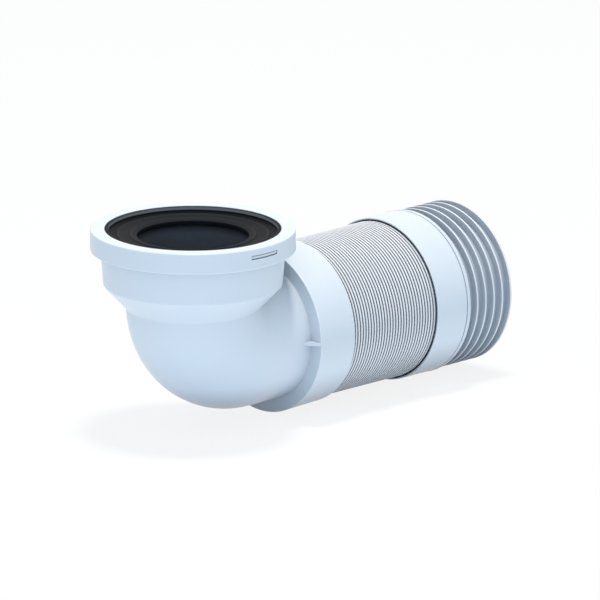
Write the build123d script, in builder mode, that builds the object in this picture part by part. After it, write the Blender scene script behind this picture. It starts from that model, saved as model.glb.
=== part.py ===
from build123d import *
from math import acos, atan2, cos, degrees, radians, sin, tan
import os

# Toilet pan connector: a short elbow with a sealed cup for the pan's spigot, a bellows hose that
# pulls out along X, and a finned end that pushes into a soil pipe. Millimetres, Z up. The origin is
# the middle of the rubber lip that grips the pan's spigot, and the cup opens upwards.

# Walls and clearances
wall = 3.0                    # white mouldings
web = 2.4                     # flanges that join a pipe to the skirt round it
ring_gap = 0.3                # between the retaining ring and the rim inside it
rubber_gap = 0.2              # between a rubber part and the moulding round it
hose_gap = 0.3                # between the hose's cuffs and the pipes inside them
edge = 0.4                    # small rounding on moulded edges

# Inlet gasket, from the lip outwards
lip_r = 38.6
lip_height = 3.0
lip_land = 2.8                # plain band beside the lip, with no ridge
web_rise = 1.2                # the sloping web climbs this much from the lip to the upstand
web_thickness = 2.4
ridge_inset = 6.1             # from the upstand to the middle of the first ridge
ridge_pitch = 9.3
ridge_height = 0.9
ridge_width = 2.8
upstand_width = 2.2
upstand_drop = 0.4            # the upstand ends this far below the ring's top
sleeve_length = 26.5
sleeve_wall = 2.2
sleeve_undercut = 2.2
sleeve_taper = 1.0

# Retaining ring
ring_top_z = 6.5
ring_height = 14.8
ring_outer_r = 70.7
ring_land = 9.9               # width of the flat top, from the opening to the outside
ring_wall = 3.4
ring_plate = 3.0
ring_top_round = 0.8
ring_bottom_round = 0.9
window_arc = 24.6             # a snap window on each side
window_height = 2.8
window_drop = 6.2             # from the ring's top to the middle of a window
window_gap = 0.6              # round the lug that fills the window
lug_inset = 0.5               # the lug's face lies this far inside the ring's
window_directions = (90, 270)

# Cup and shoulder
rim_lift = 0.9                # the rim that the ring snaps over ends this far above the ring's edge
rim_step = 3.4                # from the rim in to the cup's wall
seat_depth = 6.2              # from the rim's top to the step that the gasket's bead stands on
cup_height = 25.0
cup_draft = 1.8
shoulder_height = 16.6
shoulder_round = 1.5
neck_round = 5.0
neck_tuck = 1.4               # the shoulder ends this far inside the elbow's skin
neck_tuck_length = 8.5

# Elbow: the section grows round the bend
pipe_r = 48.4
neck_step = 2.2               # the neck is this much smaller in radius than the pipe
bend_bite = 8.2               # the tight bend turns about a line this far inside its own waterway
bend_overlap = 5.7            # the bend starts this far above the shoulder's lower end
bend_steps = 6
bend_trim = 0.4               # the sections stop this far from the bend's own axis

# Collar on the elbow's leg: a flat face towards the elbow, and a socket for the hose's end
collar_clearance = 4.9        # along X, from the cup's wall
collar_wall = 1.2
collar_flare = 1.1
socket_depth = 31.9
rib = 2.4                     # one each side, in the plane of the hose's axis
rib_inset = 0.3               # from the collar's outer edge to the top of a rib
rib_lead = 6.9                # a rib's slanted edge starts this far out on the pipe
rib_sink = 0.6                # how far a rib runs into the pipe and the collar
stub_inset = 2.0              # the pipe inside ends this far short of the collar

# Bellows hose, pushed together
fold_count = 31
fold_pitch = 2.65
fold_depth = 4.2
hose_wall = 2.0               # measured along the radius: 0.6 mm across the steep folds
crest_gap = 0.8               # between the folds' crests and the socket round them
fold_tuck = 0.6               # the first and last folds start inside their collars
cuff_length = 10.0

# Outlet spigot
skirt_length = 28.4
outlet_stub_inset = 3.0
line_gap = 0.8                # fine groove between the skirt and the bead
line_depth = 1.4
bead_width = 2.9
bead_proud = 0.2

# Finned seal
seal_sleeve = 2.2
fin_count = 5
fin_pitch = 8.15
fin_height = 5.5
fin_tip = 1.4
fin_root = 2.6
fin_lean = 1.6                # the tips lean back, away from the pipe they enter
first_fin = 6.8               # from the bead to the first tip
seal_end_lip = 1.4

# Worked out from the sizes above: ring, rim and cup
ring_inner_r = ring_outer_r - ring_wall
ring_opening_r = ring_outer_r - ring_land
ring_bottom_z = ring_top_z - ring_height
plate_z = ring_top_z - ring_plate
window_z = ring_top_z - window_drop
window_span = degrees(window_arc / ring_outer_r)
lug_span = degrees((window_arc - 2 * window_gap) / ring_outer_r)
lug_r = ring_outer_r - lug_inset
rim_r = ring_inner_r - ring_gap
rim_top_z = plate_z - ring_gap
rim_low_z = ring_bottom_z + rim_lift
seat_r = rim_r - wall
seat_z = rim_top_z - seat_depth
cup_top_r = rim_r - rim_step
cup_low_r = cup_top_r - cup_draft
cup_low_z = rim_low_z - cup_height
shoulder_low_z = cup_low_z - shoulder_height

# Elbow and hose
neck_r = pipe_r - neck_step
passage_r = pipe_r - wall
bend_radius = neck_r - wall - bend_bite
bend_z = shoulder_low_z + bend_overlap
hose_axis_z = bend_z - bend_radius
hose_axis = Axis((0, 0, hose_axis_z), (1, 0, 0))
cuff_r = pipe_r + hose_gap
fold_root_r = cuff_r + hose_wall
fold_crest_r = fold_root_r + fold_depth
socket_r = fold_crest_r + crest_gap
collar_end_r = socket_r + collar_wall
collar_open_r = collar_end_r + collar_flare
collar_x = cup_low_r + collar_clearance
collar_end_x = collar_x + web + socket_depth
fold_start_x = collar_end_x - fold_tuck
fold_end_x = fold_start_x + fold_count * fold_pitch

# Outlet
skirt_x = fold_end_x - fold_tuck
skirt_end_x = skirt_x + skirt_length
bead_x = skirt_end_x + line_gap
seal_x = bead_x + bead_width
sleeve_r = pipe_r + rubber_gap + seal_sleeve
fin_r = sleeve_r + fin_height
fin_tips = [seal_x + first_fin + i * fin_pitch for i in range(fin_count)]
seal_end_x = fin_tips[-1] + fin_tip
spigot_end_x = seal_end_x - seal_end_lip

os.makedirs("parts", exist_ok=True)


def upright_profile(points, rounds):
    """Closed outline of (radius from the cup's axis, height), with a rounding at each corner."""
    with BuildSketch(Plane.XZ) as profile:
        with BuildLine():
            FilletPolyline(*points, radius=rounds, close=True)
        make_face()
    return profile.sketch


def hose_profile(points, rounds=0):
    """Closed outline of (distance along X, radius from the hose's axis)."""
    with BuildSketch(Plane.XZ) as profile:
        with BuildLine():
            FilletPolyline(*[(x, hose_axis_z + radius) for x, radius in points], radius=rounds, close=True)
        make_face()
    return profile.sketch


def window_block(direction, span, inner_r, outer_r, height):
    """Block on an arc round the cup's axis, level with the snap windows."""
    turn = radians(direction - span / 2)
    plane = Plane(origin=(0, 0, 0), x_dir=(cos(turn), sin(turn), 0), z_dir=(sin(turn), -cos(turn), 0))
    with BuildPart() as block:
        with BuildSketch(plane):
            with Locations(((inner_r + outer_r) / 2, window_z)):
                Rectangle(outer_r - inner_r, height)
        revolve(axis=Axis.Z, revolution_arc=span)
    return block.part


def bend_section(neck, leg, share):
    """Section of the bend at a share of its quarter turn, cut off short of the bend's own axis."""
    turn = radians(90 * share)
    radius = neck + (leg - neck) * share
    centre = (bend_radius * (1 - cos(turn)), 0, bend_z - bend_radius * sin(turn))
    half = 180 - degrees(acos((bend_radius - bend_trim) / radius))
    plane = Plane(origin=centre, x_dir=(-cos(turn), 0, -sin(turn)), z_dir=(sin(turn), 0, -cos(turn)))
    with BuildSketch(plane) as section:
        with BuildLine():
            arc = CenterArc((0, 0), radius, -half, 2 * half)
            Line(arc @ 1, arc @ 0)
        make_face()
    return section.sketch


def elbow_rod(neck, leg, top_z, end_x):
    """The elbow as a solid rod: upright neck, tight bend and level leg."""
    half_width = (neck**2 - bend_radius**2) ** 0.5
    with BuildPart() as rod:
        loft([bend_section(neck, leg, step / bend_steps) for step in range(bend_steps + 1)])
        with BuildSketch(Plane.XY.offset(bend_z)):
            Circle(neck)
        extrude(amount=top_z - bend_z)
        with BuildSketch(Plane(origin=(bend_radius, 0, hose_axis_z), x_dir=(0, 0, -1), z_dir=(1, 0, 0))):
            Circle(leg)
        extrude(amount=end_x - bend_radius)
        with BuildSketch(Plane.XZ):
            with Locations((bend_radius - bend_trim, bend_z - bend_trim)):
                Rectangle(3 * bend_trim, 3 * bend_trim)
        extrude(amount=half_width, both=True)
    return rod.part


# Elbow body: cup, shoulder, bend, leg, collar and snap lugs in one moulding
shoulder_tilt = atan2(cup_low_r - neck_r, cup_low_z - shoulder_low_z)
inner_lift = wall * tan(shoulder_tilt / 2)
tuck_z = shoulder_low_z - neck_tuck_length
throat_r = neck_r - wall - neck_tuck
throat_z = shoulder_low_z + inner_lift - neck_tuck / tan(shoulder_tilt)
rib_outline = [
    (collar_x - rib_lead, pipe_r - rib_sink),
    (collar_x, collar_open_r - rib_inset),
    (collar_x + rib_sink, collar_open_r - rib_inset),
    (collar_x + rib_sink, pipe_r - rib_sink),
]

with BuildPart() as elbow_body:
    add(elbow_rod(neck_r, pipe_r, cup_low_z, collar_end_x - stub_inset))
    revolve(
        upright_profile(
            [(0, rim_top_z), (rim_r, rim_top_z), (rim_r, rim_low_z), (cup_top_r, rim_low_z),
             (cup_low_r, cup_low_z), (neck_r, shoulder_low_z), (neck_r - neck_tuck, tuck_z), (0, tuck_z)],
            [0, edge, edge, 0, shoulder_round, neck_round, 0, 0],
        ),
        axis=Axis.Z,
    )
    # Collar, with the hose's socket behind its flat face, and a rib on each side
    revolve(
        hose_profile(
            [(collar_x, passage_r), (collar_x, collar_open_r), (collar_end_x, collar_end_r),
             (collar_end_x, passage_r)],
            [0, edge, edge, 0],
        ),
        axis=hose_axis,
    )
    revolve(
        hose_profile(
            [(collar_x + web, pipe_r), (collar_x + web, socket_r), (collar_end_x, socket_r),
             (collar_end_x, passage_r), (collar_end_x - stub_inset, passage_r),
             (collar_end_x - stub_inset, pipe_r)]
        ),
        axis=hose_axis,
        mode=Mode.SUBTRACT,
    )
    for side in (-1, 1):
        with BuildSketch(Plane.XY.offset(hose_axis_z - rib / 2)):
            with BuildLine():
                Polyline(*[(x, side * radius) for x, radius in rib_outline], close=True)
            make_face()
        extrude(amount=rib)
    # Inside: the seat and cup, then the waterway
    revolve(
        upright_profile(
            [(0, rim_top_z), (seat_r, rim_top_z), (seat_r, seat_z), (cup_top_r - wall, seat_z),
             (cup_low_r - wall, cup_low_z + inner_lift), (throat_r, throat_z), (0, throat_z)],
            [0, 0, 0, 0, shoulder_round, 0, 0],
        ),
        axis=Axis.Z,
        mode=Mode.SUBTRACT,
    )
    add(elbow_rod(neck_r - wall, passage_r, cup_low_z, collar_end_x), mode=Mode.SUBTRACT)
    for direction in window_directions:
        add(window_block(direction, lug_span, rim_r - wall / 2, lug_r, window_height - 2 * window_gap))

# Retaining ring: snaps over the rim and clamps the gasket's bead
with BuildPart() as retaining_ring:
    revolve(
        upright_profile(
            [(ring_opening_r, plate_z), (ring_opening_r, ring_top_z), (ring_outer_r, ring_top_z),
             (ring_outer_r, ring_bottom_z), (ring_inner_r, ring_bottom_z), (ring_inner_r, plate_z)],
            [edge, edge, ring_top_round, ring_bottom_round, edge, 0],
        ),
        axis=Axis.Z,
    )
    for direction in window_directions:
        window = window_block(
            direction, window_span, ring_inner_r - wall / 2, ring_outer_r + wall, window_height
        )
        add(window, mode=Mode.SUBTRACT)

# Inlet gasket: bead, upstand, sloping web with two ridges, lip and sleeve in one rubber moulding
bead_outer_r = seat_r - rubber_gap
upstand_r = ring_opening_r - rubber_gap
web_end_r = upstand_r - upstand_width
lip_top_z = lip_height / 2
slope = web_rise / (web_end_r - lip_r)
ridge_foot = ridge_width / 2
first_ridge_r = web_end_r - ridge_inset
ridge_count = 1 + int((first_ridge_r - ridge_foot - lip_r - lip_land) / ridge_pitch)
sleeve_top_r = lip_r + sleeve_undercut
sleeve_low_r = sleeve_top_r - sleeve_taper
sleeve_low_z = -lip_top_z - sleeve_length


def web_top(radius):
    """Height of the web's upper face at a radius."""
    return lip_top_z + slope * (radius - lip_r)


gasket_outline = [(lip_r, -lip_top_z), (lip_r, lip_top_z)]
gasket_rounds = [0, edge]
for ridge in reversed(range(ridge_count)):
    ridge_r = first_ridge_r - ridge * ridge_pitch
    for offset, height in ((-ridge_foot, 0), (0, ridge_height), (ridge_foot, 0)):
        gasket_outline.append((ridge_r + offset, web_top(ridge_r + offset) + height))
    gasket_rounds += [0, edge, 0]
gasket_outline += [
    (web_end_r, web_top(web_end_r)),
    (web_end_r + edge, ring_top_z - upstand_drop),
    (upstand_r, ring_top_z - upstand_drop),
    (upstand_r, plate_z - rubber_gap),
    (bead_outer_r, plate_z - rubber_gap),
    (bead_outer_r, seat_z),
    (web_end_r, seat_z),
    (web_end_r - upstand_width, web_top(web_end_r) - web_thickness),
    (sleeve_top_r + 2 * sleeve_wall, lip_top_z - web_thickness),
    (sleeve_top_r + sleeve_wall, -lip_top_z - sleeve_wall),
    (sleeve_low_r + sleeve_wall, sleeve_low_z),
    (sleeve_low_r, sleeve_low_z),
    (sleeve_top_r, -lip_top_z - sleeve_undercut),
]
gasket_rounds += [0, edge, edge] + [0] * 10

with BuildPart() as inlet_gasket:
    revolve(upright_profile(gasket_outline, gasket_rounds), axis=Axis.Z)

# Bellows hose: a thin wall folded in rings, with a plain cuff at each end
folds = []
for fold in range(fold_count):
    fold_x = fold_start_x + fold * fold_pitch
    folds += [(fold_x, fold_root_r), (fold_x + fold_pitch / 2, fold_crest_r)]
folds.append((fold_end_x, fold_root_r))

with BuildPart() as bellows_hose:
    revolve(
        hose_profile(
            [(fold_start_x - cuff_length, cuff_r), (fold_start_x - cuff_length, fold_root_r)]
            + folds
            + [(fold_end_x + cuff_length, fold_root_r), (fold_end_x + cuff_length, cuff_r)]
            + [(x, radius - hose_wall) for x, radius in reversed(folds)]
        ),
        axis=hose_axis,
    )

# Outlet spigot: skirt over the hose's end, flange with a bead, and the pipe that carries the seal
with BuildPart() as outlet_spigot:
    revolve(
        hose_profile(
            [(skirt_x, socket_r), (skirt_x, collar_end_r), (skirt_end_x, collar_end_r),
             (skirt_end_x, collar_end_r - line_depth), (bead_x, collar_end_r - line_depth),
             (bead_x, collar_end_r + bead_proud), (seal_x, collar_end_r + bead_proud), (seal_x, pipe_r),
             (spigot_end_x, pipe_r), (spigot_end_x, passage_r),
             (skirt_x + outlet_stub_inset, passage_r), (skirt_x + outlet_stub_inset, pipe_r),
             (skirt_end_x - web, pipe_r), (skirt_end_x - web, socket_r)],
            [edge, edge, 0, 0, 0, edge, edge, 0, 0, 0, 0, 0, 0, 0],
        ),
        axis=hose_axis,
    )

# Finned seal: sleeve over the pipe, fins that lean back, and a lip round the pipe's end
seal_outline = [(seal_x, pipe_r + rubber_gap), (seal_x, sleeve_r)]
for tip_x in fin_tips:
    root_x = tip_x + fin_lean - (fin_root - fin_tip) / 2
    seal_outline += [(root_x, sleeve_r), (tip_x, fin_r), (tip_x + fin_tip, fin_r)]
    if tip_x != fin_tips[-1]:
        seal_outline.append((root_x + fin_root, sleeve_r))
seal_outline += [(seal_end_x, passage_r), (spigot_end_x, passage_r), (spigot_end_x, pipe_r + rubber_gap)]

with BuildPart() as fin_seal:
    revolve(hose_profile(seal_outline), axis=hose_axis)

pieces = {
    "elbow_body": elbow_body,
    "retaining_ring": retaining_ring,
    "inlet_gasket": inlet_gasket,
    "bellows_hose": bellows_hose,
    "outlet_spigot": outlet_spigot,
    "fin_seal": fin_seal,
}
for name, piece in pieces.items():
    piece.part.label = name
    export_step(piece.part, f"parts/{name}.step")
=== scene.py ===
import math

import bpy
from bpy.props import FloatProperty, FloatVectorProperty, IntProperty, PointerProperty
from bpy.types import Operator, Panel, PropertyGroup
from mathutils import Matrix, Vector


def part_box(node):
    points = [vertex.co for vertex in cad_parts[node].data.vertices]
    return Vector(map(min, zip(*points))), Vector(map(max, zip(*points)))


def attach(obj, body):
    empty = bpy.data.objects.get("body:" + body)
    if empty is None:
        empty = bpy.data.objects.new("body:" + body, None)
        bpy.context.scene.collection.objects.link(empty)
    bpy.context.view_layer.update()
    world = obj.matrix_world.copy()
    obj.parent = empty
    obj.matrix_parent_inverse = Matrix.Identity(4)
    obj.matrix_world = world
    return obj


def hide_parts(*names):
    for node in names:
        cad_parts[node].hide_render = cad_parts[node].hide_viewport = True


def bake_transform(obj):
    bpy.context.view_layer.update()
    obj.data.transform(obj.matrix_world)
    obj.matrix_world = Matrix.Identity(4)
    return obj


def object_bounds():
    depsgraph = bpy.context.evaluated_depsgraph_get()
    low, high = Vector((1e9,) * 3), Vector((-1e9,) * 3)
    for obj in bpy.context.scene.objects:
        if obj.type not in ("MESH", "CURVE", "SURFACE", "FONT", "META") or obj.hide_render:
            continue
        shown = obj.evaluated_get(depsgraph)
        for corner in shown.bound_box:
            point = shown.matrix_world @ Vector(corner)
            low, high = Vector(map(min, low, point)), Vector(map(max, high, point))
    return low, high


bl_info = {
    "name": "Toilet pan connector",
    "version": (1, 0, 0),
    "blender": (4, 5, 0),
    "location": "3D View > Sidebar > Pan connector",
    "description": "Folded hose, rubber parts, finishes and studio for a toilet pan connector",
    "category": "Object",
}

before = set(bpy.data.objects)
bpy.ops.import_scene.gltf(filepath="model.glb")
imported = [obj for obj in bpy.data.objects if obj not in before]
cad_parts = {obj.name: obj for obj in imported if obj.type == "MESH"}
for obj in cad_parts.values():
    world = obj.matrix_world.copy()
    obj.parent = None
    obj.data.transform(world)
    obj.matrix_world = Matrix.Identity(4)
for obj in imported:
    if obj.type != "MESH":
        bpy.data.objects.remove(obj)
cad_box = [list(corner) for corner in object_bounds()]

MM = 0.001

# Places read from the frame
hose_low, hose_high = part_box("bellows_hose")
gasket_low, gasket_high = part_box("inlet_gasket")
seal_low, seal_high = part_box("fin_seal")
HOSE_AXIS = Vector((0, 0, (hose_low.z + hose_high.z) / 2))
CUP_AXIS = Vector((0, 0, 0))
ALONG_HOSE = Vector((1, 0, 0))
UP = Vector((0, 0, 1))

# The part's middle as the photograph frames it, the two lamps and the floor
PICTURE_MIDDLE = Vector((0.1042, 0.0003, -0.0645))
KEY_PLACE = Vector((0.1, 0, 3))
KEY_SIZE = 0.45
FILL_PLACE = Vector((-1.2, -1.2, 0.2))
FILL_SIZE = 0.6
FLOOR_SIZE = 16
FLOOR_GAP = 0.5 * MM

# How far around itself a surface looks for what hems it in, for the shade painted into its colour
PAINTED_SHADE_REACH = 35 * MM


def linear(hex_colour):
    """Linear red, green and blue of an sRGB hex value such as "#DCE9F6"."""
    channels = [int(hex_colour[start : start + 2], 16) / 255 for start in (1, 3, 5)]
    return tuple(c / 12.92 if c <= 0.04045 else ((c + 0.055) / 1.055) ** 2.4 for c in channels)


def length(name, description, millimetres):
    """A length property, given in millimetres and held in metres."""
    return FloatProperty(
        name=name, description=description, default=millimetres * MM, min=0, unit="LENGTH", precision=5
    )


def colour(name, description, hex_colour):
    """A colour property, given as an sRGB hex value and held linear."""
    return FloatVectorProperty(
        name=name, description=description, default=linear(hex_colour), subtype="COLOR", min=0, max=1, size=3
    )


class HoseSettings(PropertyGroup):
    """Bellows hose, pushed together."""

    folds: IntProperty(name="Folds", description="Number of folds between the two cuffs", default=31, min=1)
    sides: IntProperty(name="Sides", description="Faces round the hose", default=120, min=12)
    cuff: length("Cuff", "Length of the plain cuff at each end", 10)
    depth: length("Fold depth", "From the crests down to the roots", 4.2)
    crest: length("Crest width", "Width of the band along each crest", 1.45)
    root: length("Root width", "Width of the band at each root", 0.3)
    wall: length("Wall", "Thickness of the blown wall", 0.5)
    rounding: length("Rounding", "Rounding along crests and roots", 0.25)
    end_gap: length("End gap", "The last fold ends this far short of the outlet's cuff", 0.4)


class GasketSettings(PropertyGroup):
    """Rubber gasket in the cup, from the lip outwards."""

    sides: IntProperty(name="Sides", description="Faces round the gasket", default=180, min=12)
    lip: length("Lip", "Radius of the lip that grips the pan's spigot", 38.6)
    lip_height: length("Lip height", "Height of the lip's face", 3)
    web_end: length("Web end", "Radius at which the sloping web meets the upstand", 58.4)
    web_rise: length("Web rise", "How far the web climbs from the lip to the upstand", 1.2)
    web: length("Web", "Thickness of the web", 2.4)
    ridges: IntProperty(name="Ridges", description="Number of ridges on the web", default=2, min=0)
    ridge_inset: length("Ridge inset", "From the upstand to the first ridge", 6.1)
    ridge_pitch: length("Ridge pitch", "From one ridge to the next", 9.3)
    ridge_width: length("Ridge width", "Width of a ridge", 2.8)
    ridge_height: length("Ridge height", "Height of a ridge", 0.9)
    upstand: length("Upstand", "Thickness of the wall that stands up inside the ring", 2.2)
    bead_top: length("Bead top", "Height of the clamped bead above the lip's middle", 3.3)
    bead_drop: length("Bead drop", "Depth of the bead's underside below the lip's middle", 3)
    sleeve: length("Sleeve", "Wall of the sleeve below the lip", 2.2)
    sleeve_taper: length("Sleeve taper", "How much the sleeve narrows in radius", 1)
    rounding: length("Rounding", "Rounding on the rubber's edges", 0.3)


class SealSettings(PropertyGroup):
    """Soft finned seal on the outlet."""

    fins: IntProperty(name="Fins", description="Number of fins", default=5, min=1)
    sides: IntProperty(name="Sides", description="Faces round the seal", default=160, min=12)
    pitch: length("Pitch", "From one fin's tip to the next", 8.15)
    first: length("First fin", "From the seal's start to the first tip", 6.8)
    tip: length("Tip", "Thickness of a fin at its tip", 1.4)
    root: length("Root", "Thickness of a fin at its root", 2.6)
    lean: length("Lean", "How far the tips lean back", 1.6)
    height: length("Fin height", "From the sleeve to the tips", 5.5)
    sleeve_bore: length("Sleeve bore", "Radius of the pipe under the sleeve, with its clearance", 48.6)
    pipe_bore: length("Pipe bore", "Radius of the passage that the end lip closes round", 45.4)
    end_lip: length("End lip", "Thickness of the lip over the pipe's end", 1.4)
    rounding: length("Rounding", "Rounding on the fins", 0.25)


class FinishSettings(PropertyGroup):
    """Colours of the finishes."""

    polypropylene: colour("Polypropylene", "White injection-moulded plastic", "#E4EDF5")
    hose: colour("Hose plastic", "White blown plastic", "#F8FBFF")
    gasket: colour("Gasket rubber", "Black moulded rubber", "#0B1015")
    # Painted light: the sleeve is lighter than the black rubber, fading back to it at the lip.
    gasket_sleeve_painted_light: colour("Gasket sleeve", "Painted light on the sleeve below the lip", "#5C6268")
    # Painted highlight: a light band high inside the upstand.
    gasket_painted_rim_highlight: colour("Gasket rim", "Painted highlight in a band inside the upstand", "#7E8286")
    # Painted highlight on the inner slope of each ridge.
    gasket_painted_ridge_highlight: colour("Gasket ridges", "Painted highlight on the inner slopes of the web's ridges", "#1E2327")
    seal: colour("Seal rubber", "Grey soft plastic of the fins", "#D6DEE6")
    seal_root: colour("Seal roots", "The seal's plastic between the fins", "#DAE4EE")
    # Painted highlight along the fins' tips.
    seal_painted_tip_highlight: colour("Seal tips", "Painted highlight along the thin tips of the fins", "#F4F8FC")
    floor: colour("Floor", "Colour that the floor throws back on the part", "#EAF1F8")


class StudioSettings(PropertyGroup):
    """Camera, lamps and floor."""

    azimuth: FloatProperty(
        name="Azimuth",
        description="Turn of the camera round the part",
        default=math.radians(-45),
        subtype="ANGLE",
    )
    elevation: FloatProperty(
        name="Elevation", description="Height of the camera's view", default=math.radians(15), subtype="ANGLE"
    )
    lens: FloatProperty(
        name="Lens",
        description="Focal length; a very long one gives the parallel view",
        default=1600,
        unit="CAMERA",
    )
    width: length("Picture width", "Width of the view at the part", 413.8)
    key: FloatProperty(name="Key", description="Power of the lamp overhead", default=70, unit="POWER")
    key_colour: colour("Key colour", "Colour of the lamp overhead", "#FFF8F0")
    fill: FloatProperty(
        name="Fill", description="Power of the lamp beside the camera", default=5.2, unit="POWER"
    )
    fill_colour: colour("Fill colour", "Colour of the lamp beside the camera", "#D8EDFF")
    sky: FloatProperty(name="Sky", description="Strength of the light from all round", default=0.5)
    sky_colour: colour("Sky colour", "Colour of the light from all round", "#E1F0FF")


def deselect_all():
    """Leaves nothing selected, in object mode."""
    bpy.ops.object.select_all(action="DESELECT")


def start_ring(name, axis, along, place, radius, sides):
    """A ring of vertices round an axis, selected in edit mode: the start of a turned piece."""
    deselect_all()
    turn = (0, math.pi / 2, 0) if along == ALONG_HOSE else (0, 0, 0)
    bpy.ops.mesh.primitive_circle_add(
        vertices=sides, radius=radius, fill_type="NOTHING", location=axis + along * place, rotation=turn
    )
    piece = bpy.context.object
    piece.name = piece.data.name = name
    bpy.ops.object.transform_apply(location=True, rotation=True, scale=True)
    bpy.ops.object.mode_set(mode="EDIT")
    bpy.ops.mesh.select_all(action="SELECT")
    return piece


def extrude_ring(axis, along, start, end):
    """Extrudes the selected ring from one (place, radius) to the next."""
    bpy.ops.mesh.extrude_region_move(TRANSFORM_OT_translate={"value": along * (end[0] - start[0])})
    share = end[1] / start[1]
    scale = [1 if part else share for part in along]
    bpy.ops.transform.resize(value=scale, center_override=axis + along * end[0])


def turned(name, axis, along, outline, sides):
    """A closed turned piece from an outline of (place along the axis, radius)."""
    piece = start_ring(name, axis, along, *outline[0], sides)
    for start, end in zip(outline, outline[1:] + outline[:1]):
        extrude_ring(axis, along, start, end)
    bpy.ops.mesh.select_all(action="SELECT")
    bpy.ops.mesh.remove_doubles(threshold=0.001 * MM)
    bpy.ops.mesh.normals_make_consistent(inside=False)
    bpy.ops.object.mode_set(mode="OBJECT")
    return piece


def apply_modifier(piece, kind, **settings):
    """Adds a modifier with its settings and applies it."""
    modifier = piece.modifiers.new(kind.title(), kind)
    for setting, value in settings.items():
        setattr(modifier, setting, value)
    bpy.context.view_layer.objects.active = piece
    bpy.ops.object.modifier_apply(modifier=modifier.name)


def round_edges(piece, width, segments, angle):
    """Rounds every edge of a piece that turns by more than an angle."""
    apply_modifier(
        piece,
        "BEVEL",
        width=width,
        segments=segments,
        limit_method="ANGLE",
        angle_limit=angle,
        miter_outer="MITER_ARC",
    )


def smooth(piece, angle):
    """Smooth shading, with edges sharp above an angle."""
    deselect_all()
    piece.select_set(True)
    bpy.context.view_layer.objects.active = piece
    bpy.ops.object.shade_smooth_by_angle(angle=angle)


def dress(piece, material):
    """Gives a piece one material all over."""
    piece.data.materials.clear()
    piece.data.materials.append(material)


def add_node(tree, kind, inputs=None, **settings):
    """Adds a node. inputs gives its sockets values, or other nodes' outputs to link."""
    node = tree.nodes.new(kind)
    for setting, value in settings.items():
        setattr(node, setting, value)
    for socket, value in (inputs or {}).items():
        if isinstance(value, bpy.types.NodeSocket):
            tree.links.new(value, node.inputs[socket])
        else:
            node.inputs[socket].default_value = value
    return node


def darkened(tree, colour, light, darkest):
    """Darkens a colour where a value from 0 to 1 is low, down to a share of itself."""
    shade = add_node(tree, "ShaderNodeMapRange", {"Value": light, "To Min": darkest, "To Max": 1})
    inputs = {0: 1, 6: colour, 7: shade.outputs["Result"]}
    return add_node(tree, "ShaderNodeMix", inputs, data_type="RGBA", blend_type="MULTIPLY").outputs[2]


def clouds(tree, place, size):
    """A slow cloud over the surface, from 0 to 1."""
    inputs = {"Vector": place, "Scale": 1 / size, "Detail": 3}
    return add_node(tree, "ShaderNodeTexNoise", inputs).outputs["Fac"]


def openness(tree, reach):
    """How open the surface is within a reach: 1 in the open, 0 where it is hemmed in."""
    return add_node(tree, "ShaderNodeAmbientOcclusion", {"Distance": reach}, samples=16).outputs["AO"]


def colours_along(tree, value, stops):
    """Colours that follow a length. The stops are (length, rgb), from the least length up."""
    low, high = stops[0][0], stops[-1][0]
    share = add_node(tree, "ShaderNodeMapRange", {"Value": value, "From Min": low, "From Max": high})
    ramp = add_node(tree, "ShaderNodeValToRGB", {"Fac": share.outputs["Result"]})
    elements = ramp.color_ramp.elements
    for place, rgb in stops[1:-1]:
        elements.new((place - low) / (high - low))
    for element, (place, rgb) in zip(elements, stops):
        element.color = (*rgb, 1)
    return ramp.outputs["Color"]


def hose_radius(tree, place):
    """Distance of a point from the hose's axis."""
    offset = add_node(tree, "ShaderNodeVectorMath", {0: place, 1: HOSE_AXIS}, operation="SUBTRACT")
    inputs = {0: offset.outputs[0], 1: (0, 1, 1)}
    across = add_node(tree, "ShaderNodeVectorMath", inputs, operation="MULTIPLY")
    return add_node(tree, "ShaderNodeVectorMath", {0: across.outputs[0]}, operation="LENGTH").outputs["Value"]


def rubber_bands(tree, place, upright, rings, ring_rgb):
    """Colours up the cup's axis, with rings of another colour between (inner, outer) radii."""
    apart = add_node(tree, "ShaderNodeSeparateXYZ", {"Vector": place}).outputs
    tone = colours_along(tree, apart["Z"], upright)
    flat = add_node(tree, "ShaderNodeCombineXYZ", {"X": apart["X"], "Y": apart["Y"]})
    radius = add_node(tree, "ShaderNodeVectorMath", {0: flat.outputs[0]}, operation="LENGTH").outputs["Value"]
    for inner, outer in rings:
        middle, reach = (inner + outer) / 2, (outer - inner) / 2
        inside = add_node(tree, "ShaderNodeMath", {0: radius, 1: middle, 2: reach}, operation="COMPARE")
        mixed = add_node(
            tree, "ShaderNodeMix", {0: inside.outputs[0], 6: tone, 7: (*ring_rgb, 1)}, data_type="RGBA"
        )
        tone = mixed.outputs[2]
    return tone


def new_material(name):
    """An empty node material with its output: (material, tree, output node)."""
    material = bpy.data.materials.new(name)
    material.use_nodes = True
    tree = material.node_tree
    tree.nodes.clear()
    return material, tree, add_node(tree, "ShaderNodeOutputMaterial")


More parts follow.
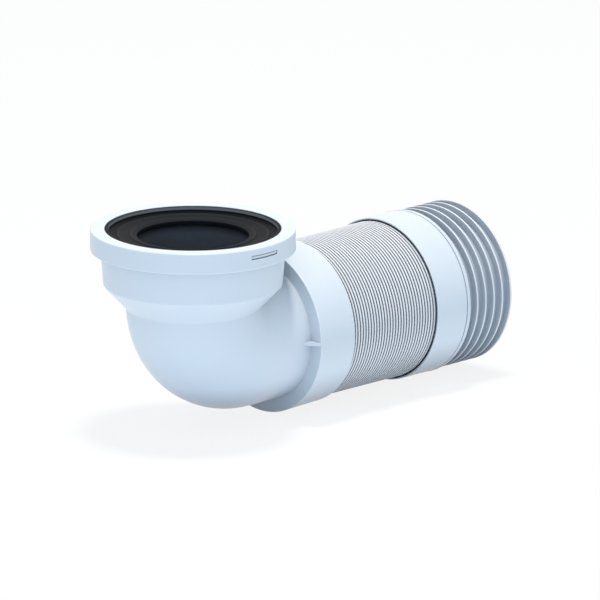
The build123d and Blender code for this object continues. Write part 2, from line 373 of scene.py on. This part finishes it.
def moulded_polypropylene(rgb):
    """Injection-moulded white polypropylene: a soft gloss, a faint orange peel, slow flow in the tone and
    painted shade where it is hemmed in.
    """
    material, tree, output = new_material("injection_moulded_polypropylene")
    place = add_node(tree, "ShaderNodeTexCoord").outputs["Object"]
    tone = darkened(tree, (*rgb, 1), clouds(tree, place, 45 * MM), 0.97)
    # Painted shade: the white darkens where the part or the floor hems it in.
    tone = darkened(tree, tone, openness(tree, PAINTED_SHADE_REACH), 0.6)
    skin = add_node(tree, "ShaderNodeTexNoise", {"Vector": place, "Scale": 1 / (6 * MM), "Detail": 2})
    inputs = {"Value": skin.outputs["Fac"], "To Min": 0.26, "To Max": 0.36}
    gloss = add_node(tree, "ShaderNodeMapRange", inputs)
    peel = add_node(tree, "ShaderNodeTexNoise", {"Vector": place, "Scale": 1 / (1.6 * MM), "Detail": 1})
    bump = add_node(
        tree, "ShaderNodeBump", {"Strength": 0.2, "Distance": 0.03 * MM, "Height": peel.outputs["Fac"]}
    )
    shader = add_node(
        tree,
        "ShaderNodeBsdfPrincipled",
        {
            "Base Color": tone,
            "Roughness": gloss.outputs["Result"],
            "IOR": 1.49,
            "Normal": bump.outputs["Normal"],
            "Subsurface Weight": 0.12,
            "Subsurface Radius": (1, 1, 1),
            "Subsurface Scale": 1.5 * MM,
        },
    )
    tree.links.new(shader.outputs["BSDF"], output.inputs["Surface"])
    return material


def blown_polypropylene(rgb, groove):
    """Thin blown polypropylene: duller than the mouldings, with painted shade in its grooves that lightens as
    they open, and where it is hemmed in.
    """
    material, tree, output = new_material("blown_polypropylene")
    place = add_node(tree, "ShaderNodeTexCoord").outputs["Object"]
    cloud = clouds(tree, place, 20 * MM)
    tone = darkened(tree, (*rgb, 1), cloud, 0.96)
    # Painted shade in the grooves, within a fold's depth.
    tone = darkened(tree, tone, openness(tree, groove), 0)
    # Painted shade where the hose is hemmed in by other parts or the floor.
    tone = darkened(tree, tone, openness(tree, PAINTED_SHADE_REACH), 0.62)
    gloss = add_node(tree, "ShaderNodeMapRange", {"Value": cloud, "To Min": 0.36, "To Max": 0.44})
    shader = add_node(
        tree,
        "ShaderNodeBsdfPrincipled",
        {"Base Color": tone, "Roughness": gloss.outputs["Result"], "IOR": 1.49, "Specular IOR Level": 0.4},
    )
    tree.links.new(shader.outputs["BSDF"], output.inputs["Surface"])
    return material


def moulded_rubber(name, colours, roughness, grain_size, shine):
    """Compression-moulded rubber: matt, with a fine even grain. colours(tree, place) gives its colour."""
    material, tree, output = new_material(name)
    place = add_node(tree, "ShaderNodeTexCoord").outputs["Object"]
    cloud = clouds(tree, place, 14 * MM)
    tone = darkened(tree, colours(tree, place), cloud, 0.88)
    matt = add_node(
        tree, "ShaderNodeMapRange", {"Value": cloud, "To Min": roughness - 0.05, "To Max": roughness + 0.05}
    )
    grain = add_node(tree, "ShaderNodeTexNoise", {"Vector": place, "Scale": 1 / grain_size, "Detail": 2})
    bump = add_node(
        tree, "ShaderNodeBump", {"Strength": 0.35, "Distance": 0.04 * MM, "Height": grain.outputs["Fac"]}
    )
    shader = add_node(
        tree,
        "ShaderNodeBsdfPrincipled",
        {
            "Base Color": tone,
            "Roughness": matt.outputs["Result"],
            "IOR": 1.5,
            "Specular IOR Level": shine,
            "Normal": bump.outputs["Normal"],
        },
    )
    tree.links.new(shader.outputs["BSDF"], output.inputs["Surface"])
    return material


def seen_rays(tree):
    """1 on rays that show a surface: from the camera, a reflection or through glass."""
    rays = add_node(tree, "ShaderNodeLightPath").outputs
    seen = rays["Is Camera Ray"]
    for kind in ("Is Glossy Ray", "Is Transmission Ray"):
        seen = add_node(tree, "ShaderNodeMath", {0: seen, 1: rays[kind]}, operation="MAXIMUM").outputs[0]
    return seen


def white_backdrop(name, rgb, white_share):
    """Pale matt floor that the camera sees as almost pure white, and the part as a tinted board."""
    material, tree, output = new_material(name)
    seen = seen_rays(tree)
    board = add_node(tree, "ShaderNodeBsdfDiffuse", {"Color": (*rgb, 1)})
    pale = add_node(tree, "ShaderNodeBsdfDiffuse", {"Color": (0.9, 0.9, 0.9, 1)})
    white = add_node(tree, "ShaderNodeEmission", {"Color": (1, 1, 1, 1), "Strength": 1})
    lit = add_node(tree, "ShaderNodeMixShader", {0: white_share, 1: pale.outputs[0], 2: white.outputs[0]})
    mix = add_node(tree, "ShaderNodeMixShader", {0: seen, 1: board.outputs[0], 2: lit.outputs[0]})
    tree.links.new(mix.outputs[0], output.inputs["Surface"])
    return material


class PANCONNECTOR_OT_mouldings(Operator):
    """Finish the elbow body, the retaining ring and the outlet spigot"""

    bl_idname = "panconnector.mouldings"
    bl_label = "White mouldings"

    def execute(self, context):
        finish = context.scene.pan_connector_finish
        plastic = moulded_polypropylene(finish.polypropylene)
        for node in ("elbow_body", "retaining_ring", "outlet_spigot"):
            dress(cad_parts[node], plastic)
        return {"FINISHED"}


class PANCONNECTOR_OT_gasket(Operator):
    """Make the rubber gasket in the cup"""

    bl_idname = "panconnector.gasket"
    bl_label = "Inlet gasket"

    def execute(self, context):
        gasket = context.scene.pan_connector_gasket
        lip_top = gasket.lip_height / 2
        slope = gasket.web_rise / (gasket.web_end - gasket.lip)
        outline = [(-lip_top, gasket.lip), (lip_top, gasket.lip)]
        # Rings of painted highlight on the inner slope of each ridge, as (inner, outer) radii.
        painted_ridge_highlights = []
        for ridge in reversed(range(gasket.ridges)):
            middle = gasket.web_end - gasket.ridge_inset - ridge * gasket.ridge_pitch
            foot = gasket.ridge_width / 2
            for radius, height in ((middle - foot, 0), (middle, gasket.ridge_height), (middle + foot, 0)):
                outline.append((lip_top + slope * (radius - gasket.lip) + height, radius))
            painted_ridge_highlights.append((middle - foot, middle))
        web_top = lip_top + gasket.web_rise
        upstand_r = gasket.web_end + gasket.upstand
        sleeve_top_r = gasket.lip + gasket.sleeve
        sleeve_low_r = sleeve_top_r - gasket.sleeve_taper
        outline += [
            (web_top, gasket.web_end),
            (gasket_high.z, gasket.web_end),
            (gasket_high.z, upstand_r),
            (gasket.bead_top, upstand_r),
            (gasket.bead_top, gasket_high.x),
            (-gasket.bead_drop, gasket_high.x),
            (-gasket.bead_drop, gasket.web_end),
            (web_top - gasket.web, gasket.web_end - gasket.upstand),
            (lip_top - gasket.web, sleeve_top_r + 2 * gasket.sleeve),
            (-lip_top - gasket.sleeve, sleeve_top_r + gasket.sleeve),
            (gasket_low.z, sleeve_low_r + gasket.sleeve),
            (gasket_low.z, sleeve_low_r),
            (-lip_top - gasket.sleeve, sleeve_top_r),
        ]
        piece = turned("lipped_gasket", CUP_AXIS, UP, outline, gasket.sides)
        round_edges(piece, gasket.rounding, 2, math.radians(25))
        smooth(piece, math.radians(40))
        finish = context.scene.pan_connector_finish
        # Painted light on the sleeve below the lip and a painted highlight band high inside the upstand, over
        # the black rubber.
        upright = [
            (-lip_top - 6 * MM, finish.gasket_sleeve_painted_light),
            (-lip_top, finish.gasket),
            (gasket_high.z - 2.1 * MM, finish.gasket),
            (gasket_high.z - 1.7 * MM, finish.gasket_painted_rim_highlight),
            (gasket_high.z - gasket.rounding, finish.gasket_painted_rim_highlight),
            (gasket_high.z, finish.gasket),
        ]

        def colours(tree, place):
            return rubber_bands(tree, place, upright, painted_ridge_highlights, finish.gasket_painted_ridge_highlight)

        dress(piece, moulded_rubber("moulded_epdm_rubber", colours, 0.6, 0.5 * MM, 0.085))
        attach(piece, "elbow")
        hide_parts("inlet_gasket")
        return {"FINISHED"}


class PANCONNECTOR_OT_hose(Operator):
    """Make the folded hose between the elbow and the outlet"""

    bl_idname = "panconnector.hose"
    bl_label = "Bellows hose"

    def execute(self, context):
        hose = context.scene.pan_connector_hose
        crest_r = hose_high.y
        root_r = crest_r - hose.depth
        start = hose_low.x + hose.cuff
        end = hose_high.x - hose.cuff - hose.end_gap
        pitch = (end - start) / hose.folds
        flank = (pitch - hose.crest - hose.root) / 2
        stations = [(start, root_r), (start + hose.root / 2, root_r)]
        stations.append((stations[-1][0] + flank, crest_r))
        stations.append((stations[-1][0] + hose.crest, crest_r))
        stations.append((stations[-1][0] + flank, root_r))
        stations.append((start + pitch, root_r))
        piece = start_ring("folded_hose", HOSE_AXIS, ALONG_HOSE, *stations[0], hose.sides)
        for first, second in zip(stations, stations[1:]):
            extrude_ring(HOSE_AXIS, ALONG_HOSE, first, second)
        bpy.ops.object.mode_set(mode="OBJECT")
        apply_modifier(
            piece,
            "ARRAY",
            count=hose.folds,
            use_relative_offset=False,
            use_constant_offset=True,
            constant_offset_displace=(pitch, 0, 0),
            use_merge_vertices=True,
            merge_threshold=0.02 * MM,
        )
        for place, step in ((start, hose_low.x - start), (end, hose_high.x - end)):
            self.select_ring(piece, place, pitch / 20)
            bpy.ops.mesh.extrude_region_move(TRANSFORM_OT_translate={"value": (step, 0, 0)})
            bpy.ops.object.mode_set(mode="OBJECT")
        bpy.ops.object.mode_set(mode="EDIT")
        bpy.ops.mesh.select_all(action="SELECT")
        bpy.ops.mesh.normals_make_consistent(inside=False)
        bpy.ops.object.mode_set(mode="OBJECT")
        apply_modifier(piece, "SOLIDIFY", thickness=hose.wall, offset=-1, use_even_offset=True)
        self.round_outside(piece, root_r - hose.wall / 2, hose.rounding)
        smooth(piece, math.radians(60))
        finish = context.scene.pan_connector_finish
        dress(piece, blown_polypropylene(finish.hose, hose.depth))
        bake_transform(piece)
        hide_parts("bellows_hose")
        return {"FINISHED"}

    def select_ring(self, piece, place, reach):
        """Selects the vertices of a ring by their place along the hose, and enters edit mode."""
        bpy.ops.object.mode_set(mode="EDIT")
        bpy.ops.mesh.select_mode(type="VERT")
        bpy.ops.mesh.select_all(action="DESELECT")
        bpy.ops.object.mode_set(mode="OBJECT")
        for vertex in piece.data.vertices:
            vertex.select = abs(vertex.co.x - place) < reach
        bpy.ops.object.mode_set(mode="EDIT")

    def round_outside(self, piece, inner_r, width):
        """Rounds the rings outside a radius, which are the crests and roots that show."""
        bpy.ops.object.mode_set(mode="EDIT")
        bpy.ops.mesh.select_mode(type="EDGE")
        bpy.ops.mesh.select_all(action="DESELECT")
        bpy.ops.object.mode_set(mode="OBJECT")
        vertices = piece.data.vertices
        for edge in piece.data.edges:
            first, second = (vertices[i].co for i in edge.vertices)
            outside = (first - HOSE_AXIS).yz.length > inner_r
            edge.select = outside and abs(first.x - second.x) < 0.001 * MM
        bpy.ops.object.mode_set(mode="EDIT")
        bpy.ops.mesh.bevel(offset=width, segments=2, affect="EDGES")
        bpy.ops.object.mode_set(mode="OBJECT")


class PANCONNECTOR_OT_seal(Operator):
    """Make the finned seal that rides on the outlet"""

    bl_idname = "panconnector.seal"
    bl_label = "Finned seal"

    def execute(self, context):
        seal = context.scene.pan_connector_seal
        tip_r = seal_high.y
        sleeve_r = tip_r - seal.height
        thicker = (seal.root - seal.tip) / 2
        outline = [(seal_low.x, seal.sleeve_bore), (seal_low.x, sleeve_r)]
        for fin in range(seal.fins):
            tip_x = seal_low.x + seal.first + fin * seal.pitch
            root_x = tip_x + seal.lean - thicker
            outline += [(root_x, sleeve_r), (tip_x, tip_r), (tip_x + seal.tip, tip_r)]
            if fin < seal.fins - 1:
                outline.append((root_x + seal.root, sleeve_r))
        pipe_end = seal_high.x - seal.end_lip
        outline += [(seal_high.x, seal.pipe_bore), (pipe_end, seal.pipe_bore), (pipe_end, seal.sleeve_bore)]
        piece = turned("finned_seal", HOSE_AXIS, ALONG_HOSE, outline, seal.sides)
        round_edges(piece, seal.rounding, 3, math.radians(30))
        smooth(piece, math.radians(50))
        finish = context.scene.pan_connector_finish
        # Colours out from the sleeve to the tips, which carry a painted highlight.
        tones = [
            (sleeve_r, finish.seal_root),
            (tip_r - 0.6 * MM, finish.seal),
            (tip_r - 0.3 * MM, finish.seal_painted_tip_highlight),
            (tip_r, finish.seal_painted_tip_highlight),
        ]

        def colours(tree, place):
            tone = colours_along(tree, hose_radius(tree, place), tones)
            # Painted shade where the seal is hemmed in by other parts or the floor.
            return darkened(tree, tone, openness(tree, PAINTED_SHADE_REACH), 0.6)

        dress(piece, moulded_rubber("moulded_thermoplastic_rubber", colours, 0.55, 0.6 * MM, 0.4))
        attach(piece, "outlet")
        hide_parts("fin_seal")
        return {"FINISHED"}


class PANCONNECTOR_OT_studio(Operator):
    """Add the floor, the lamps, the sky and the camera"""

    bl_idname = "panconnector.studio"
    bl_label = "Studio"

    def execute(self, context):
        studio = context.scene.pan_connector_studio
        self.add_floor(context.scene.pan_connector_finish.floor)
        self.add_sky(context.scene, studio.sky, studio.sky_colour)
        self.add_lamp("key_lamp", KEY_PLACE, PICTURE_MIDDLE, KEY_SIZE, studio.key, studio.key_colour)
        self.add_lamp("fill_lamp", FILL_PLACE, PICTURE_MIDDLE, FILL_SIZE, studio.fill, studio.fill_colour)
        self.add_camera(context.scene, studio, PICTURE_MIDDLE)
        context.scene.view_settings.view_transform = "Standard"
        return {"FINISHED"}

    def add_floor(self, rgb):
        """A wide pale floor just under the part."""
        deselect_all()
        bpy.ops.mesh.primitive_plane_add(size=FLOOR_SIZE, location=(0, 0, cad_box[0][2] - FLOOR_GAP))
        floor = bpy.context.object
        floor.name = floor.data.name = "floor"
        bpy.ops.object.transform_apply(location=True, rotation=True, scale=True)
        dress(floor, white_backdrop("white_painted_board", rgb, 0.85))

    def add_sky(self, scene, strength, rgb):
        """A faintly blue light from all round, which the camera sees as white."""
        world = bpy.data.worlds.new("soft_white_surround")
        scene.world = world
        world.use_nodes = True
        tree = world.node_tree
        tree.nodes.clear()
        seen = seen_rays(tree)
        light = add_node(tree, "ShaderNodeBackground", {"Color": (*rgb, 1), "Strength": strength})
        white = add_node(tree, "ShaderNodeBackground", {"Color": (1, 1, 1, 1), "Strength": 1})
        mix = add_node(tree, "ShaderNodeMixShader", {0: seen, 1: light.outputs[0], 2: white.outputs[0]})
        add_node(tree, "ShaderNodeOutputWorld", {"Surface": mix.outputs[0]})

    def add_lamp(self, name, place, target, size, power, rgb):
        """A square soft lamp aimed at the part."""
        deselect_all()
        bpy.ops.object.light_add(type="AREA", location=place)
        lamp = bpy.context.object
        lamp.name = lamp.data.name = name
        lamp.data.size = size
        lamp.data.energy = power
        lamp.data.color = rgb
        lamp.rotation_euler = (target - place).to_track_quat("-Z", "Y").to_euler()

    def add_camera(self, scene, studio, target):
        """A very long lens at the photograph's angle, so the view is all but parallel."""
        deselect_all()
        bpy.ops.object.camera_add()
        camera = bpy.context.object
        camera.name = camera.data.name = "camera"
        camera.data.lens = studio.lens
        distance = studio.width * studio.lens / camera.data.sensor_width
        flat = math.cos(studio.elevation)
        across, along = math.sin(studio.azimuth) * flat, -math.cos(studio.azimuth) * flat
        away = Vector((across, along, math.sin(studio.elevation)))
        camera.location = target + away * distance
        camera.rotation_euler = (-away).to_track_quat("-Z", "Y").to_euler()
        camera.data.clip_end = 3 * distance
        scene.camera = camera


class PANCONNECTOR_PT_panel(Panel):
    """Lists the operators that make the pan connector"""

    bl_label = "Pan connector"
    bl_idname = "PANCONNECTOR_PT_panel"
    bl_space_type = "VIEW_3D"
    bl_region_type = "UI"
    bl_category = "Pan connector"

    def draw(self, context):
        for operator in OPERATORS:
            self.layout.operator(operator.bl_idname)


OPERATORS = (
    PANCONNECTOR_OT_mouldings,
    PANCONNECTOR_OT_gasket,
    PANCONNECTOR_OT_hose,
    PANCONNECTOR_OT_seal,
    PANCONNECTOR_OT_studio,
)
SETTINGS = {
    "pan_connector_gasket": GasketSettings,
    "pan_connector_hose": HoseSettings,
    "pan_connector_seal": SealSettings,
    "pan_connector_finish": FinishSettings,
    "pan_connector_studio": StudioSettings,
}


def register():
    for entry in (*SETTINGS.values(), *OPERATORS, PANCONNECTOR_PT_panel):
        bpy.utils.register_class(entry)
    for name, settings in SETTINGS.items():
        setattr(bpy.types.Scene, name, PointerProperty(type=settings))


def unregister():
    for name in SETTINGS:
        delattr(bpy.types.Scene, name)
    for entry in reversed((*SETTINGS.values(), *OPERATORS, PANCONNECTOR_PT_panel)):
        bpy.utils.unregister_class(entry)


def main():
    """Makes every piece and the studio."""
    register()
    bpy.ops.panconnector.mouldings()
    bpy.ops.panconnector.gasket()
    bpy.ops.panconnector.hose()
    bpy.ops.panconnector.seal()
    bpy.ops.panconnector.studio()


if __name__ == "__main__":
    main()
